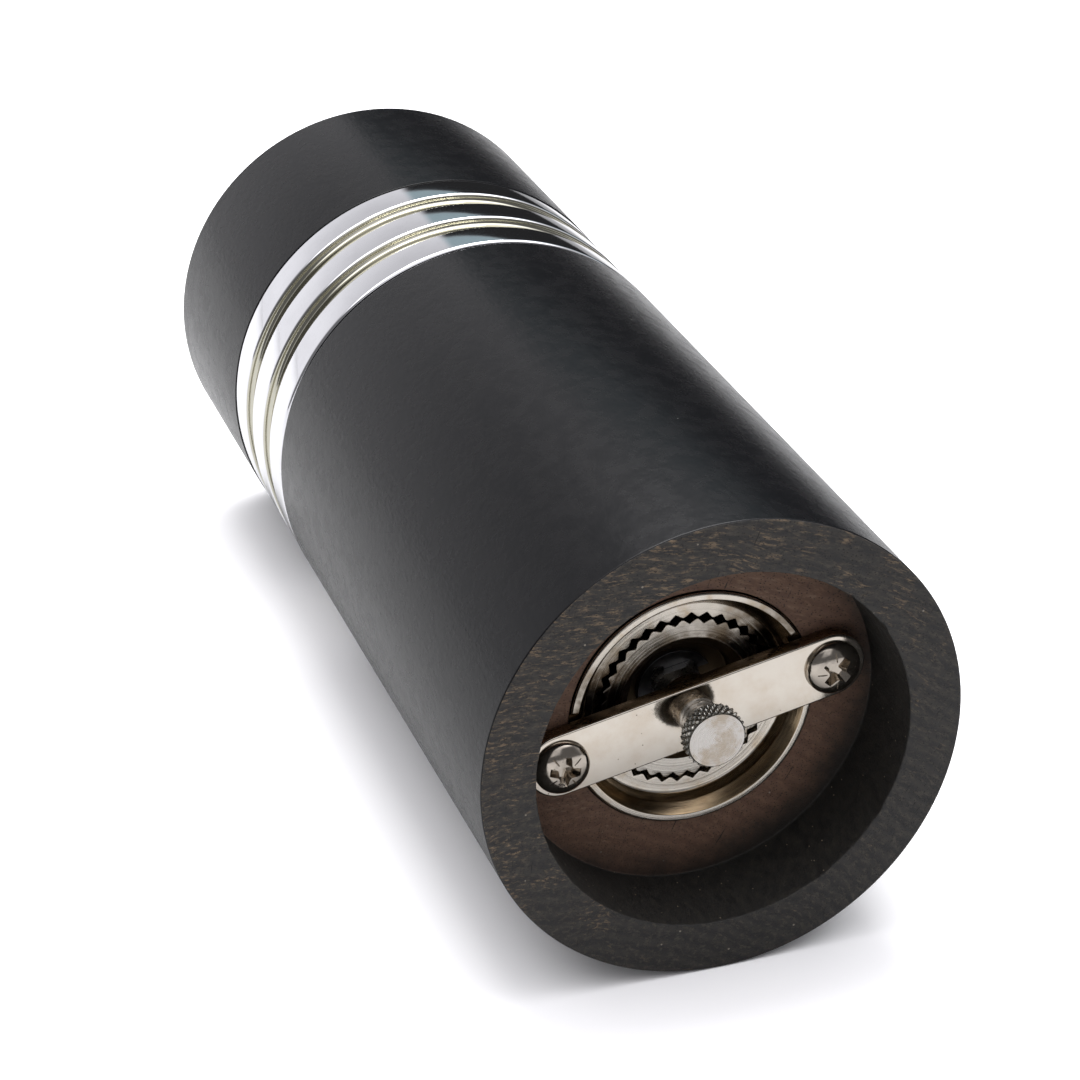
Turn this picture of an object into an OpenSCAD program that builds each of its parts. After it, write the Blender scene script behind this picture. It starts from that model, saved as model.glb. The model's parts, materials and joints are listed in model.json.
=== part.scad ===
/* [Mill] */
// Outside diameter of the wooden body, the head and the metal collar
mill_d = 60; // [58:0.5:64]
// Height of the finished mill, from the base to the top of the head
mill_h = 146.2; // [138:0.2:160]
// Height of the wooden body, from the base to the slip ring
body_h = 88.2; // [84:0.2:92]
// Depth of the recess in the base, which holds the grinder
recess_depth = 11.1; // [10.6:0.1:12]
// Diameter of the recess in the base
recess_d = 46.6; // [46:0.2:48]
// Diameter of the pepper chamber
chamber_d = 37; // [36.4:0.2:40]

/* [Collar] */
// Height of each raised land of the collar
land_h = 5.6; // [4.5:0.1:6.5]
// Width of each groove between two lands
groove_w = 3.8; // [2.5:0.1:4.5]
// Depth of the grooves
groove_depth = 1.1; // [0.4:0.1:1.6]

/* [Grinder] */
// Number of fine teeth around each burr
teeth = 36; // [30:1:40]
// Depth of the fine teeth
tooth_depth = 0.65; // [0.4:0.05:0.8]
// Gap between the tooth tips of the two burrs at the finest setting
burr_gap = 0.32; // [0.3:0.02:0.5]
// Number of coarse flutes on the inner burr
flutes = 9; // [6:1:10]
// Width across the flats of the square shaft
shaft_w = 6; // [5.6:0.1:6.2]

/* [Bridge and adjuster] */
// Width of the bridge
bridge_w = 8.3; // [7.6:0.1:9]
// Distance between the two bridge screws
bridge_pitch = 35; // [34:0.2:35.4]
// Thickness of the bridge
bridge_t = 2.1; // [1.6:0.1:2.3]
// Diameter of the knurled adjusting knob
knob_d = 7.7; // [7:0.1:9]
// Number of knurl grooves around the knob
knurls = 24; // [18:2:28]

/* [Hidden] */
$fn = 64;
// A sliver that joins two solids, and a length that clears any face a cutter passes through
eps = 0.01;
past = 1;
mill_r = mill_d / 2;
edge = 0.6;
fit = 0.03;
close_gap = 0.05;

// Slip ring and collar levels
slip_t = 0.75;
slip_r = mill_r - 0.9;
collar_z = body_h + 0.8;
land_pitch = land_h + groove_w;
collar_h = 3 * land_h + 2 * groove_w;
collar_top = collar_z + collar_h;
collar_r = mill_r - 0.1;
core_r = mill_r - 4;
land_chamfer = 0.5;

// Bores of the body
chamber_r = chamber_d / 2;
shoulder_z = 42;
burr_bore_r = 14.05;
burr_seat_r = 15.6;
burr_seat_z = 13;
pilot_h = 13;
guide_pilot_h = 9;
plate_pilot_h = 12;

// Bridge, its screws and the adjuster
bridge_z = recess_depth - bridge_t;
screw_x = bridge_pitch / 2;
screw_turn = [20, 52];
screw_shank_r = 1.75;
screw_head_r = 3.45;
screw_head_h = 1.75;
screw_len = 13;
screw_point = 3;
screw_point_r = 0.3;
dome_flat = 0.4;
boss_r = 3.9;
boss_h = 1.4;
thread_r = 2.5;
thread_gap = 0.06;
knob_face_z = 3;
knob_h = 2.5;
knob_edge = 0.25;
knob_tip_z = 14.4;
stud_tip_h = 0.8;
stud_tip_r = 1.3;
knurl_w = 0.5;
knurl_out = 0.1;
ball_r = 1.5;
ball_gap = 0.07;
ball_z = knob_tip_z + ball_r + close_gap;

// Burrs
lip_z = 10.65;
lip_r = 15.45;
lip_in_r = 14.35;
lip_gap_w = 10;
dish_r = 0.35;
dish_h = 1.4;
dish_top = 0.6;
annulus_z = 13.5;
annulus_r = 13;
female_tip_r = 11.05;
female_top_z = 25;
female_out_r = 14;
fine_h = 2.6;
burr_slope = 12;
tooth_w = 1.6;
tooth_back = 0.6;
tooth_over = 0.4;
female_cone_r = 10.7;
female_flutes = flutes + 3;
female_flute = [1.5, 2.6, 14];
male_flute = [1.4, 2.4, 13];
flute_lean = 25;
male_flute_slope = 22;
male_flute_in = 0.2;
male_flute_up = 0.4;
male_face_z = 13.3;
male_tip_r = female_tip_r - burr_gap;
male_top_z = 26;
male_top_r = 6.4;
male_boss_r = 4.75;
male_boss_z = 27;
male_mouth_r = 8;
male_mouth_h = 0.8;
male_recess_r = 7;
male_recess_z = 17.1;
tooth_phase = 180 / teeth;

// Shaft and what it carries
shaft_z = 15.2;
shaft_top = 97;
shaft_neck_r = 2.5;
shaft_tip_h = 1;
shaft_end_r = [3.3, 4.4, 2];
clip_z = 16.3;
clip_t = 0.75;
clip_r = 4.9;
clip_mouth = 3.2;
clip_eye_r = 0.75;
clip_eye_x = 0.9;
square_gap = 0.04;
corner_gap = 0.15;
seat_t = 0.7;
seat_rim = 1;
wire_r = 0.5;
coil_r = 5.7;
coils = 6;
close_climb = 1.1;
wire_sides = 8;
wire_steps = 16;
bar_t = 1.6;
bar_w = 11;
bush_r = 5.2;
bush_flange_r = 6.6;
bush_flange_t = 0.9;
bush_bore_r = 4.32;
bush_rise = 1;
guide_screw_x = 16.15;
guide_screw = [2.2, 1.3, 1.2, 10];
guide_hole_r = 1.35;
washer_t = 0.8;
washer_z = shoulder_z - bush_flange_t - washer_t - close_gap;
seat_top_z = male_boss_z + seat_t;

// Head fittings
tenon_r = chamber_r - 0.35;
tenon_h = 8;
tenon_z = collar_z - tenon_h;
plate_r = 13;
plate_t = 1.5;
plate_z = tenon_z - plate_t;
plate_screw_x = 10.2;
plate_screw = [2.8, 1.6, 1.5, 13];
plate_hole_r = 1.7;
plate_hole_gap = 0.1;
clip_bore_r = 8;
clip_bore_h = 7;
clip_disc_gap = 0.2;
head_bore_r = 4.9;
head_bore_z = 100;
leaf_t = 0.5;
leaf_h = 5.6;
leaf_w = 5;
leaf_gap = 0.06;
head_edge = 1.2;
head_bevel = 0.35;

// A ring turned from a rectangle
module ring(r_in, r_out, z0, z1) {
    difference() {
        translate([0, 0, z0]) cylinder(r = r_out, h = z1 - z0);
        translate([0, 0, z0 - past]) cylinder(r = r_in, h = z1 - z0 + 2 * past);
    }
}

// Two copies, one on each side of the axis
module pair_x(x) {
    for (side = [-1, 1]) translate([side * x, 0, 0]) children();
}

// A slanted vee prism that cuts one tooth gap, opening towards the inside or the outside
module tooth_gap(r, depth, width, h, slope, outward) {
    back = outward ? -tooth_back : tooth_back;
    tip = outward ? depth : -depth;
    spread = width * (1 + tooth_back / depth);
    translate([r, 0, 0]) rotate([0, -slope, 0]) translate([0, 0, -past]) linear_extrude(height = h + past)
        polygon([[back, -spread / 2], [tip, 0], [back, spread / 2]]);
}

// Wood screw with a domed cross-recess head, head down at z = 0, shank pointing up
module wood_screw(head_r, head_h, shank_r, len) {
    slot = [head_r * 1.15, head_r * 0.24, head_h * 0.7 + past];
    dome_r = (head_r * head_r + head_h * head_h) / (2 * head_h) + dome_flat;
    difference() {
        intersection() {
            translate([0, 0, -head_h]) cylinder(r = head_r, h = head_h);
            translate([0, 0, dome_r - head_h]) sphere(r = dome_r);
        }
        for (turn = [0, 90]) rotate([0, 0, turn])
            translate([-slot[0] / 2, -slot[1] / 2, -head_h - past]) cube(slot);
    }
    translate([0, 0, -eps]) cylinder(r = shank_r, h = len - screw_point);
    translate([0, 0, len - screw_point - eps]) cylinder(r1 = shank_r, r2 = screw_point_r, h = screw_point);
}

// A square bar standing on z0
module square_bar(w, z0, h) {
    translate([-w / 2, -w / 2, z0]) cube([w, w, h]);
}

// A bar with round ends, lying along X
module round_bar(len, w, z0, t) {
    translate([0, 0, z0]) linear_extrude(height = t) {
        square([len - w, w], center = true);
        pair_x((len - w) / 2) circle(d = w);
    }
}

module barrel() {
    color("#2b2b2d") difference() {
        rotate_extrude() polygon([
            [0, 0], [mill_r - edge, 0], [mill_r, edge], [mill_r, body_h - edge],
            [mill_r - edge, body_h], [0, body_h]]);
        translate([0, 0, -past]) cylinder(d = recess_d, h = recess_depth + past);
        translate([0, 0, recess_depth - past])
            cylinder(r = burr_seat_r, h = burr_seat_z - recess_depth + past);
        translate([0, 0, burr_seat_z - past])
            cylinder(r = burr_bore_r, h = shoulder_z - burr_seat_z + 2 * past);
        translate([0, 0, shoulder_z]) cylinder(r = chamber_r, h = body_h);
        pair_x(screw_x) translate([0, 0, recess_depth - past])
            cylinder(r = screw_shank_r + fit, h = pilot_h + past);
        pair_x(guide_screw_x) translate([0, 0, shoulder_z - guide_pilot_h])
            cylinder(r = guide_screw[2] + fit, h = guide_pilot_h + past);
    }
}

module slip_ring() {
    color("#151515") ring(chamber_r + 0.4, slip_r, body_h, body_h + slip_t);
}

module female_burr() {
    fine_top_r = female_tip_r - fine_h * tan(burr_slope);
    color("#b9b4aa") difference() {
        rotate_extrude() polygon([
            [lip_in_r, lip_z], [lip_r, lip_z], [lip_r, burr_seat_z], [female_out_r, burr_seat_z],
            [female_out_r, female_top_z], [female_cone_r, female_top_z],
            [fine_top_r, annulus_z + fine_h], [female_tip_r, annulus_z], [annulus_r, annulus_z],
            [annulus_r + dish_r, annulus_z - dish_h], [lip_in_r - dish_r / 2, lip_z + dish_top]]);
        translate([-lip_r - past, -lip_gap_w / 2, lip_z - past])
            cube([2 * (lip_r + past), lip_gap_w, recess_depth + close_gap - lip_z + past]);
        for (i = [0 : teeth - 1]) rotate([0, 0, tooth_phase + i * 360 / teeth]) translate([0, 0, annulus_z])
            tooth_gap(female_tip_r, tooth_depth, tooth_w, fine_h + tooth_over, burr_slope, true);
        for (i = [0 : female_flutes - 1]) rotate([0, 0, i * 360 / female_flutes])
            translate([0, 0, annulus_z + fine_h]) rotate([flute_lean, 0, 0])
            tooth_gap(fine_top_r, female_flute[0], female_flute[1], female_flute[2], 0, true);
    }
}

module male_burr() {
    fine_top_z = male_face_z + fine_h;
    male_cone_r = male_tip_r - fine_h * tan(burr_slope);
    square_w = shaft_w + 2 * square_gap;
    color("#c4bfb6") difference() {
        union() {
            translate([0, 0, male_face_z]) cylinder(r1 = male_tip_r, r2 = male_cone_r, h = fine_h);
            translate([0, 0, fine_top_z])
                cylinder(r1 = male_cone_r, r2 = male_top_r, h = male_top_z - fine_top_z);
            translate([0, 0, male_top_z - past])
                cylinder(r = male_boss_r, h = male_boss_z - male_top_z + past);
        }
        translate([0, 0, male_face_z - past])
            cylinder(r = male_recess_r, h = male_recess_z - male_face_z + past);
        translate([0, 0, male_face_z - eps])
            cylinder(r1 = male_mouth_r, r2 = male_recess_r, h = male_mouth_h);
        square_bar(square_w, male_face_z, male_boss_z - male_face_z + past);
        for (i = [0 : teeth - 1]) rotate([0, 0, tooth_phase + i * 360 / teeth]) translate([0, 0, male_face_z])
            tooth_gap(male_tip_r, tooth_depth, tooth_w, fine_h + tooth_over, burr_slope, false);
        for (i = [0 : flutes - 1]) rotate([0, 0, i * 360 / flutes])
            translate([0, 0, fine_top_z + male_flute_up]) rotate([-flute_lean, 0, 0])
            tooth_gap(male_cone_r - male_flute_in, male_flute[0], male_flute[1], male_flute[2],
                male_flute_slope, false);
    }
}

module burr_circlip() {
    color("#3f3d3a") difference() {
        ring(shaft_neck_r + fit, clip_r, clip_z, clip_z + clip_t);
        translate([0, -clip_mouth / 2, clip_z - past]) cube([clip_r + past, clip_mouth, clip_t + 2 * past]);
        for (turn = [120, 240]) rotate([0, 0, turn])
            translate([shaft_neck_r + clip_eye_x, 0, clip_z - past])
            cylinder(r = clip_eye_r, h = clip_t + 2 * past);
    }
}

module drive_shaft() {
    neck_z = clip_z + clip_t + close_gap;
    pocket_top = ball_z + ball_r + close_gap;
    color("#8f8d88") difference() {
        union() {
            square_bar(shaft_w, neck_z, shaft_top - shaft_tip_h - neck_z);
            intersection() {
                square_bar(shaft_w, shaft_top - shaft_tip_h - eps, shaft_tip_h + eps);
                translate([0, 0, shaft_top - shaft_w])
                    cylinder(r1 = shaft_w + 2, r2 = shaft_w / 2 - 0.1, h = shaft_w);
            }
            translate([0, 0, clip_z - 2 * close_gap]) cylinder(r = shaft_neck_r, h = clip_t + 13 * close_gap);
            intersection() {
                square_bar(shaft_w, shaft_z, clip_z - shaft_z - close_gap);
                translate([0, 0, shaft_z - eps])
                    cylinder(r1 = shaft_end_r[0], r2 = shaft_end_r[1], h = shaft_end_r[2]);
            }
        }
        translate([0, 0, shaft_z - past]) cylinder(r = ball_r + ball_gap, h = pocket_top - shaft_z + past);
    }
}

module bridge() {
    color("#c9c2b4") difference() {
        union() {
            round_bar(bridge_pitch + bridge_w + 0.2, bridge_w, bridge_z, bridge_t);
            translate([0, 0, recess_depth - eps]) cylinder(r = boss_r, h = boss_h);
        }
        pair_x(screw_x) translate([0, 0, bridge_z - past])
            cylinder(r = screw_shank_r + corner_gap, h = bridge_t + 2 * past);
        translate([0, 0, bridge_z - past]) cylinder(r = thread_r, h = bridge_t + boss_h + 2 * past);
    }
}

module bridge_screws() {
    color("#8b8680") for (i = [0, 1]) translate([(2 * i - 1) * screw_x, 0, bridge_z])
        rotate([0, 0, screw_turn[i]]) wood_screw(screw_head_r, screw_head_h, screw_shank_r, screw_len);
}

module adjusting_knob() {
    knob_r = knob_d / 2;
    stud_r = thread_r - thread_gap;
    color("#cfcbc4") difference() {
        union() {
            translate([0, 0, knob_face_z]) rotate_extrude() polygon([
                [0, 0], [knob_r - knob_edge, 0], [knob_r, knob_edge], [knob_r, knob_h - knob_edge],
                [knob_r - knob_edge, knob_h], [0, knob_h]]);
            translate([0, 0, knob_face_z + past])
                cylinder(r = stud_r, h = knob_tip_z - stud_tip_h - knob_face_z - past);
            translate([0, 0, knob_tip_z - stud_tip_h - eps])
                cylinder(r1 = stud_r, r2 = stud_tip_r, h = stud_tip_h + eps);
        }
        for (i = [0 : knurls - 1]) rotate([0, 0, i * 360 / knurls])
            translate([knob_r + knurl_out, 0, knob_face_z + knob_h / 2]) rotate([0, 0, 45])
            cube([knurl_w, knurl_w, 2 * knob_h], center = true);
    }
}

module thrust_ball() {
    color("#c9c9cc") translate([0, 0, ball_z]) sphere(r = ball_r);
}

module guide_bar() {
    color("#9b9791") difference() {
        intersection() {
            translate([-chamber_r, -bar_w / 2, shoulder_z]) cube([chamber_d, bar_w, bar_t]);
            translate([0, 0, shoulder_z - past]) cylinder(r = chamber_r - 0.3, h = bar_t + 2 * past);
        }
        translate([0, 0, shoulder_z - past]) cylinder(r = bush_r, h = bar_t + 2 * past);
        pair_x(guide_screw_x) translate([0, 0, shoulder_z - past])
            cylinder(r = guide_hole_r, h = bar_t + 2 * past);
    }
}

module guide_bush() {
    bottom = shoulder_z - bush_flange_t;
    color("#e8e6df") difference() {
        union() {
            translate([0, 0, bottom]) cylinder(r = bush_flange_r, h = bush_flange_t);
            translate([0, 0, shoulder_z - eps]) cylinder(r = bush_r - fit, h = bar_t + bush_rise);
        }
        translate([0, 0, bottom - past])
            cylinder(r = bush_bore_r, h = bush_flange_t + bar_t + bush_rise + 2 * past);
    }
}

module guide_screws() {
    color("#b8b4ad") pair_x(guide_screw_x) translate([0, 0, shoulder_z + bar_t]) mirror([0, 0, 1])
        wood_screw(guide_screw[0], guide_screw[1], guide_screw[2], guide_screw[3]);
}

// A washer with a round hole that clears the corners of the square shaft
module shaft_washer(z, t) {
    ring(shaft_w / 2 * sqrt(2) + corner_gap, coil_r + seat_rim, z, z + t);
}

module spring_seat() {
    color("#a8a49d") shaft_washer(male_boss_z, seat_t);
}

module spring_washer() {
    color("#a8a49d") shaft_washer(washer_z, washer_t);
}

// Height of the wire's centre after a number of turns: one close coil at each end, open coils between
function wire_z(turn, z0, z1) =
    let (open_climb = (z1 - z0 - 2 * close_climb) / (coils - 2))
    let (close_turns = min(turn, 1) + max(turn - coils + 1, 0))
    z0 + close_climb * close_turns + open_climb * min(max(turn - 1, 0), coils - 2);

// One ring of points around the wire
function wire_ring(turn, z) = [for (k = [0 : wire_sides - 1])
    let (a = 360 * turn, b = 360 * k / wire_sides, r = coil_r + wire_r * cos(b))
    [r * cos(a), r * sin(a), z + wire_r * sin(b)]];

module spring() {
    z0 = seat_top_z + wire_r + close_gap;
    z1 = washer_z - wire_r - close_gap;
    rings = coils * wire_steps;
    points = [for (i = [0 : rings]) each wire_ring(i / wire_steps, wire_z(i / wire_steps, z0, z1))];
    sides = [for (i = [0 : rings - 1], k = [0 : wire_sides - 1])
        let (a = i * wire_sides + k, b = i * wire_sides + (k + 1) % wire_sides)
        [a, b, b + wire_sides, a + wire_sides]];
    start = [for (k = [wire_sides - 1 : -1 : 0]) k];
    end = [for (k = [0 : wire_sides - 1]) rings * wire_sides + k];
    color("#77757a") polyhedron(points, concat([start], sides, [end]), convexity = 8);
}

module head() {
    color("#2b2b2d") difference() {
        union() {
            rotate_extrude() polygon([
                [0, collar_top], [mill_r, collar_top], [mill_r, mill_h - head_edge],
                [mill_r - head_bevel, mill_h - head_bevel], [mill_r - head_edge, mill_h], [0, mill_h]]);
            translate([0, 0, collar_z]) cylinder(r = core_r - fit, h = collar_h + past);
            translate([0, 0, tenon_z]) cylinder(r = tenon_r, h = tenon_h + past);
        }
        translate([0, 0, tenon_z - past]) cylinder(r = clip_bore_r, h = clip_bore_h + past);
        translate([0, 0, tenon_z]) cylinder(r = head_bore_r, h = head_bore_z - tenon_z);
        pair_x(plate_screw_x) translate([0, 0, tenon_z - past])
            cylinder(r = plate_screw[2] + fit, h = plate_pilot_h + past);
    }
}

module collar() {
    outline = concat(
        [[core_r, collar_z]],
        [for (i = [0 : 2]) let (z = collar_z + i * land_pitch, top = z + land_h) each [
            [collar_r - land_chamfer, z], [collar_r, z + land_chamfer],
            [collar_r, top - land_chamfer / 2], [collar_r - land_chamfer / 2, top],
            each i < 2 ? [[collar_r - groove_depth, top], [collar_r - groove_depth, z + land_pitch]] : []]],
        [[core_r, collar_top]]);
    color("#d9dadb") rotate_extrude() polygon(outline);
}

module drive_plate() {
    color("#a09c95") difference() {
        translate([0, 0, plate_z]) cylinder(r = plate_r, h = plate_t);
        square_bar(shaft_w + 2 * plate_hole_gap, plate_z - past, plate_t + 2 * past);
        pair_x(plate_screw_x) translate([0, 0, plate_z - past])
            cylinder(r = plate_hole_r, h = plate_t + 2 * past);
    }
}

module drive_plate_screws() {
    color("#b8b4ad") pair_x(plate_screw_x) translate([0, 0, plate_z])
        wood_screw(plate_screw[0], plate_screw[1], plate_screw[2], plate_screw[3]);
}

module shaft_clip() {
    leaf_y = shaft_w / 2 + leaf_gap;
    color("#55534f") {
        difference() {
            translate([0, 0, tenon_z]) cylinder(r = clip_bore_r - clip_disc_gap, h = leaf_t);
            translate([0, 0, tenon_z]) cube([shaft_w + 1, shaft_w + 2 * leaf_gap, 4 * past], center = true);
        }
        for (side = [-1, 1]) translate([-leaf_w / 2, side > 0 ? leaf_y : -leaf_y - leaf_t, tenon_z])
            cube([leaf_w, leaf_t, leaf_h]);
    }
}

barrel();
slip_ring();
female_burr();
bridge();
bridge_screws();
guide_bar();
guide_bush();
guide_screws();
adjusting_knob();
thrust_ball();
drive_shaft();
male_burr();
burr_circlip();
spring_seat();
spring();
spring_washer();
head();
collar();
drive_plate();
drive_plate_screws();
shaft_clip();
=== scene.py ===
"""The pepper mill's looks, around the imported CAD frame. Sizes are in millimetres unless a comment differs."""

import json
from math import acos, cos, pi, radians, sin, sqrt, tan

import bmesh
import bpy
from mathutils import Matrix, Vector, noise


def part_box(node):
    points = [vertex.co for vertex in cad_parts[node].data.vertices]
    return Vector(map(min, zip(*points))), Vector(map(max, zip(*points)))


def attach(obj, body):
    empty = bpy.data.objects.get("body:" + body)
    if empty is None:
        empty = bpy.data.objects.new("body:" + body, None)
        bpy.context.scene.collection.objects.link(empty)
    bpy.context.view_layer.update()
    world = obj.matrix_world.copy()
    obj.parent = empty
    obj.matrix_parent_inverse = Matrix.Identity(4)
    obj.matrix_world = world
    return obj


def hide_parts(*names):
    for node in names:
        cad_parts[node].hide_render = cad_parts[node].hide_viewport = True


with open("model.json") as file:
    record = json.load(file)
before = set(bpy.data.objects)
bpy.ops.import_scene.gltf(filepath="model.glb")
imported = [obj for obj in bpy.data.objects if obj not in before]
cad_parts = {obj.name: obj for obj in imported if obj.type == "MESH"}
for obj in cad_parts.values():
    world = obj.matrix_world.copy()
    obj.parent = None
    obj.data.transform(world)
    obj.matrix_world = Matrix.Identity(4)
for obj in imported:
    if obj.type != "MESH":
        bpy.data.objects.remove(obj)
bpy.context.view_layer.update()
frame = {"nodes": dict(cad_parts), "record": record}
record = frame["record"]
# One millimetre in Blender's metres
MM = 0.001


# ---------------------------------------------------------------- sizes from the frame

def node_box(node):
    """The two corners of a CAD node's box, in millimetres."""
    lo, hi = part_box(node)
    return lo / MM, hi / MM


BARREL_HI = node_box("barrel")[1]
HEAD_LO, HEAD_HI = node_box("head")
COLLAR_LO, COLLAR_HI = node_box("collar")
RING_LO, RING_HI = node_box("slip_ring")
FEMALE_LO, FEMALE_HI = node_box("female_burr")
MALE_LO, MALE_HI = node_box("male_burr")
BRIDGE_LO, BRIDGE_HI = node_box("bridge")
KNOB_LO, KNOB_HI = node_box("adjusting_knob")
SPRING_LO, SPRING_HI = node_box("spring")

# The CAD's circles have flat sides, so the smaller half-width is the radius that stays inside them
MILL_R = min(BARREL_HI.x, BARREL_HI.y)
MILL_H = HEAD_HI.z

# Bores of the wood and levels inside the recess, as the CAD has them
RECESS_R = 23.3
RECESS_Z = 11.1
SEAT_R = 15.6
SEAT_Z = 13.0
BURR_BORE_R = 14.05
SHOULDER_Z = 42.0
CHAMBER_R = 18.5
TENON_R = 18.15
CORE_R = 25.97
CLIP_BORE_R = 8.0
CLIP_BORE_TOP = 88.0
HEAD_BORE_R = 4.9
HEAD_BORE_TOP = 100.0
LAND_H = 5.6
GROOVE_W = 3.8
GROOVE_DEPTH = 1.1
TEETH = 36
TOOTH_PHASE = radians(180 / TEETH)
TOOTH_DEPTH = 0.62
TOOTH_SHARE = 0.85
OUTER_FLUTES = 12
INNER_FLUTES = 9
FLUTE_SHARE = 0.8
SQUARE_HALF = 3.04
ANNULUS_Z = 13.5
# The inner burr has one tooth fewer, so the two rows of gaps line up on one side and interlock on the other.
# They line up eight teeth round from +X, but for one degree of lead.
MALE_TEETH = TEETH - 1
MALE_PHASE = TOOTH_PHASE - radians(8 * 360 / TEETH + 1)
MALE_RUN_OUT = (ANNULUS_Z + 0.2, ANNULUS_Z + 2.4)
FEMALE_RUN_OUT = (ANNULUS_Z + 0.1, ANNULUS_Z + 1.3)
MALE_RECESS_Z = 17.1
LIP_GAP_HALF = radians(19.5)
SCREW_X = 17.5
SCREW_TURNS = (radians(20), radians(52))
GUIDE_SCREW_X = 16.15
GUIDE_SCREW_Z = 43.6
PLATE_SCREW_X = 10.2
PLATE_SCREW_Z = 79.5
BRIDGE_SCREW = {"head_r": 3.45, "head_h": 1.75, "shank_r": 1.75, "length": 13}
GUIDE_SCREW = {"head_r": 2.2, "head_h": 1.3, "shank_r": 1.2, "length": 10, "turn": 0.6}
PLATE_SCREW = {"head_r": 2.8, "head_h": 1.6, "shank_r": 1.5, "length": 13, "turn": 1.1}
BOSS_R = 3.9
STUD_R = 2.44
KNURLS = 27
THREAD_PITCH = 0.8
WOOD_SCREW_PITCH = 1.25


# ---------------------------------------------------------------- mesh helpers

def add_mesh(name, verts, faces, materials, zones=None, sharp=35):
    """A closed mesh from points in millimetres, with outward faces and sharp edges kept sharp."""
    mesh = bpy.data.meshes.new(name)
    mesh.from_pydata([Vector(v) * MM for v in verts], [], faces)
    for material in materials:
        mesh.materials.append(material)
    if zones:
        mesh.polygons.foreach_set("material_index", zones)
    tidy = bmesh.new()
    tidy.from_mesh(mesh)
    bmesh.ops.recalc_face_normals(tidy, faces=tidy.faces)
    tidy.to_mesh(mesh)
    tidy.free()
    mesh.shade_smooth()
    mesh.set_sharp_from_angle(angle=radians(sharp))
    piece = bpy.data.objects.new(name, mesh)
    bpy.context.scene.collection.objects.link(piece)
    return piece


def stand_in(piece, *nodes):
    """Shows the piece in place of CAD nodes, on their body."""
    bodies = record["behaviour"]["bodies"]
    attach(piece, next(body for body, members in bodies.items() if nodes[0] in members))
    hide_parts(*nodes)
    return piece


def rounded(points, steps=5):
    """A closed outline with its corners rounded. Each point is (r, z, corner radius, next edge's zone)."""
    out = []
    for i, (r, z, radius, zone) in enumerate(points):
        before = points[i - 1]
        after = points[(i + 1) % len(points)]
        corner = Vector((r, z))
        if radius == 0:
            out.append((r, z, zone))
            continue
        back = (Vector(before[:2]) - corner).normalized()
        ahead = (Vector(after[:2]) - corner).normalized()
        half = acos(max(-1, min(1, back.dot(ahead)))) / 2
        centre = corner + (back + ahead).normalized() * radius / sin(half)
        start = corner + back * radius / tan(half) - centre
        turn = pi - 2 * half
        if back.y * ahead.x < back.x * ahead.y:
            turn = -turn
        for k in range(steps + 1):
            a = turn * k / steps
            arm = Vector((start.x * cos(a) - start.y * sin(a), start.x * sin(a) + start.y * cos(a)))
            out.append((centre.x + arm.x, centre.y + arm.y, before[3] if k < steps / 2 else zone))
    return out


def stretch(start, end, step, zone=0):
    """Points about step apart, from start up to but not including end. The axis itself isn't divided."""
    (r, z), (r2, z2) = start, end
    count = max(1, round(sqrt((r2 - r) ** 2 + (z2 - z) ** 2) / step)) if r + r2 > 0 else 1
    return [(r + (r2 - r) * k / count, z + (z2 - z) * k / count, zone) for k in range(count)]


def divided(outline, step):
    """The closed outline with extra points along every edge longer than step."""
    out = []
    for i, (r, z, zone) in enumerate(outline):
        out += stretch((r, z), outline[(i + 1) % len(outline)][:2], step, zone)
    return out


def lathe(name, outline, materials, turns=256, shape=None, sharp=35):
    """Turns a closed outline round the mill's axis. shape(angle, r, z) may give a point a new (r, z)."""
    verts = []
    rings = []
    for r, z, _ in outline:
        if r < 1e-6:
            rings.append([len(verts)] * turns)
            verts.append((0, 0, z))
            continue
        rings.append(list(range(len(verts), len(verts) + turns)))
        for k in range(turns):
            a = 2 * pi * k / turns
            r2, z2 = shape(a, r, z) if shape else (r, z)
            verts.append((r2 * cos(a), r2 * sin(a), z2))
    faces = []
    zones = []
    for i, ring in enumerate(rings):
        above = rings[(i + 1) % len(rings)]
        for k in range(turns):
            j = (k + 1) % turns
            corners = dict.fromkeys((ring[k], ring[j], above[j], above[k]))
            if len(corners) > 2:
                faces.append(tuple(corners))
                zones.append(outline[i][2])
    return add_mesh(name, verts, faces, materials, zones, sharp)


def wave(x):
    """A triangle wave that is 1 at whole numbers and 0 halfway between."""
    return abs(2 * (x % 1) - 1)


def vee(angle, count, share):
    """1 in the middle of each of count notches round the axis, 0 between. Each fills share of its pitch."""
    off = abs((angle * count / (2 * pi) + 0.5) % 1 - 0.5)
    return max(0, 1 - off / (share / 2))


def smooth_step(x, lo, hi):
    t = max(0, min(1, (x - lo) / (hi - lo)))
    return t * t * (3 - 2 * t)


# ---------------------------------------------------------------- material helpers

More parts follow.
